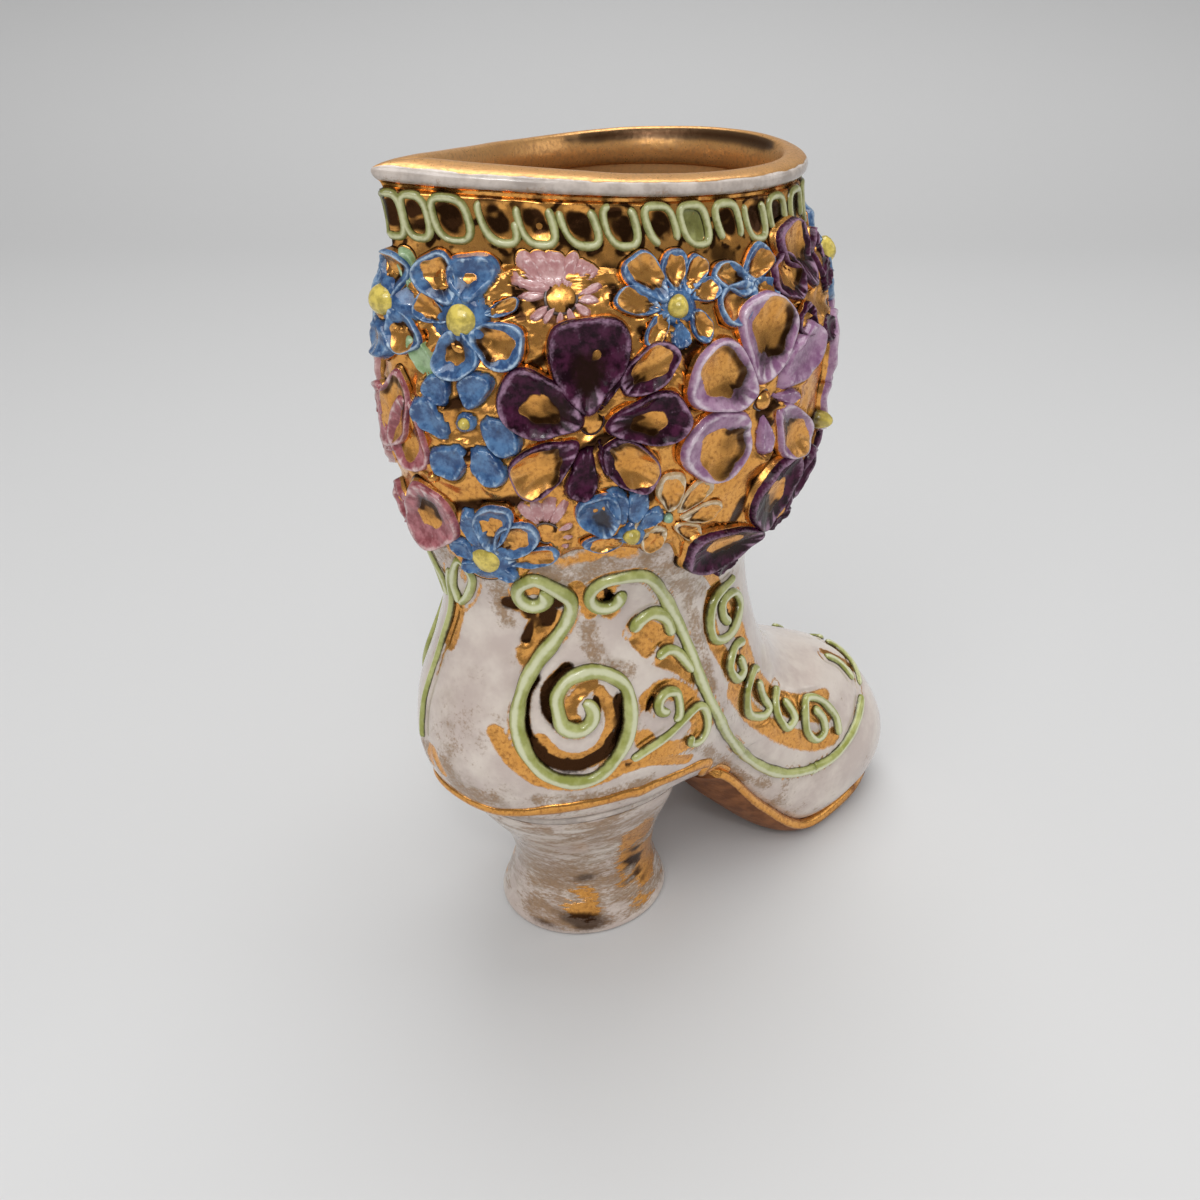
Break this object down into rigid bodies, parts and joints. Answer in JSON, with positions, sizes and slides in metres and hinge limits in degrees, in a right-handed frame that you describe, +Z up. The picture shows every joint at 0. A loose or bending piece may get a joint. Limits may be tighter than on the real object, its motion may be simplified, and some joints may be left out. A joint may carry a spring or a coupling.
{
  "type": "boot vase",
  "caption": "Ceramic vase in the shape of a heeled ankle boot, open at the top, with a thick lip, a strip of raised loops, moulded flowers and trailed scrolls.",
  "frame": {"origin": "centre of the heel's flat foot, on the surface that the vase stands on", "axes": "+Z up, +X towards the toe, +Y towards the boot's own left side"},
  "size_m": [0.1547, 0.0879, 0.1936],
  "materials": {
    "porcelain": "glossy white glaze, rubbed back to brown and gold on the high places",
    "gold_lustre": "burnished gold lustre over glaze, dark in the hollows",
    "loop_green": "glossy pale green glaze on gold",
    "scroll_green": "glossy pale yellow-green glaze",
    "blue": "glossy mid-blue glaze with pale edges",
    "plum": "glossy dark purple glaze with pale edges",
    "lilac": "glossy lilac glaze with pale edges",
    "pink": "glossy dusty pink glaze",
    "rose": "glossy rose-red glaze",
    "cream": "gold with cream painted outlines",
    "leaf": "glossy mint-green glaze",
    "sole_brown": "matter dark terracotta-brown glaze"
  },
  "bodies": {
    "root": {"boot_shell": "porcelain", "rim_collar": "gold_lustre", "loop_band": "loop_green", "heel_seat": "gold_lustre", "heel": "porcelain", "sole": "sole_brown", "ankle_curl_left": "scroll_green", "ankle_curl_right": "scroll_green", "blue_fan_flower": "blue", "blue_fan_left": "blue", "blue_flower_ankle": "blue", "blue_flower_back": "blue", "blue_flower_back_left": "blue", "blue_flower_instep": "blue", "blue_flower_large": "blue", "blue_flower_left": "blue", "blue_flower_low": "blue", "blue_flower_low_left": "blue", "blue_flower_twin": "blue", "cream_aster": "cream", "cream_aster_instep": "cream", "forget_me_not": "blue", "heel_scroll_left": "scroll_green", "heel_scroll_right": "scroll_green", "instep_scroll_left": "scroll_green", "instep_scroll_right": "scroll_green", "lace_garland_left": "scroll_green", "lace_garland_right": "scroll_green", "leaf_left": "leaf", "leaf_lobe_lower_left": "scroll_green", "leaf_lobe_lower_right": "scroll_green", "leaf_lobe_upper_left": "scroll_green", "leaf_lobe_upper_right": "scroll_green", "leaf_lower": "leaf", "leaf_upper": "leaf", "lilac_flower_instep": "lilac", "lilac_flower_large": "lilac", "lilac_flower_left": "lilac", "pansy_back_left": "plum", "pansy_large": "plum", "pansy_left": "plum", "pink_aster_large": "pink", "pink_aster_left": "pink", "pink_aster_small": "pink", "pink_flower_back": "pink", "plum_flower_instep": "plum", "plum_flower_left": "plum", "plum_flower_low": "plum", "plum_flower_upper": "plum", "rose_flower_left": "rose", "rose_flower_lower": "rose", "rose_flower_upper": "rose", "toe_curl_left": "scroll_green", "toe_curl_right": "scroll_green", "twin_scroll_lower_left": "scroll_green", "twin_scroll_lower_right": "scroll_green", "twin_scroll_upper_left": "scroll_green", "twin_scroll_upper_right": "scroll_green"}
  },
  "joints": []
}
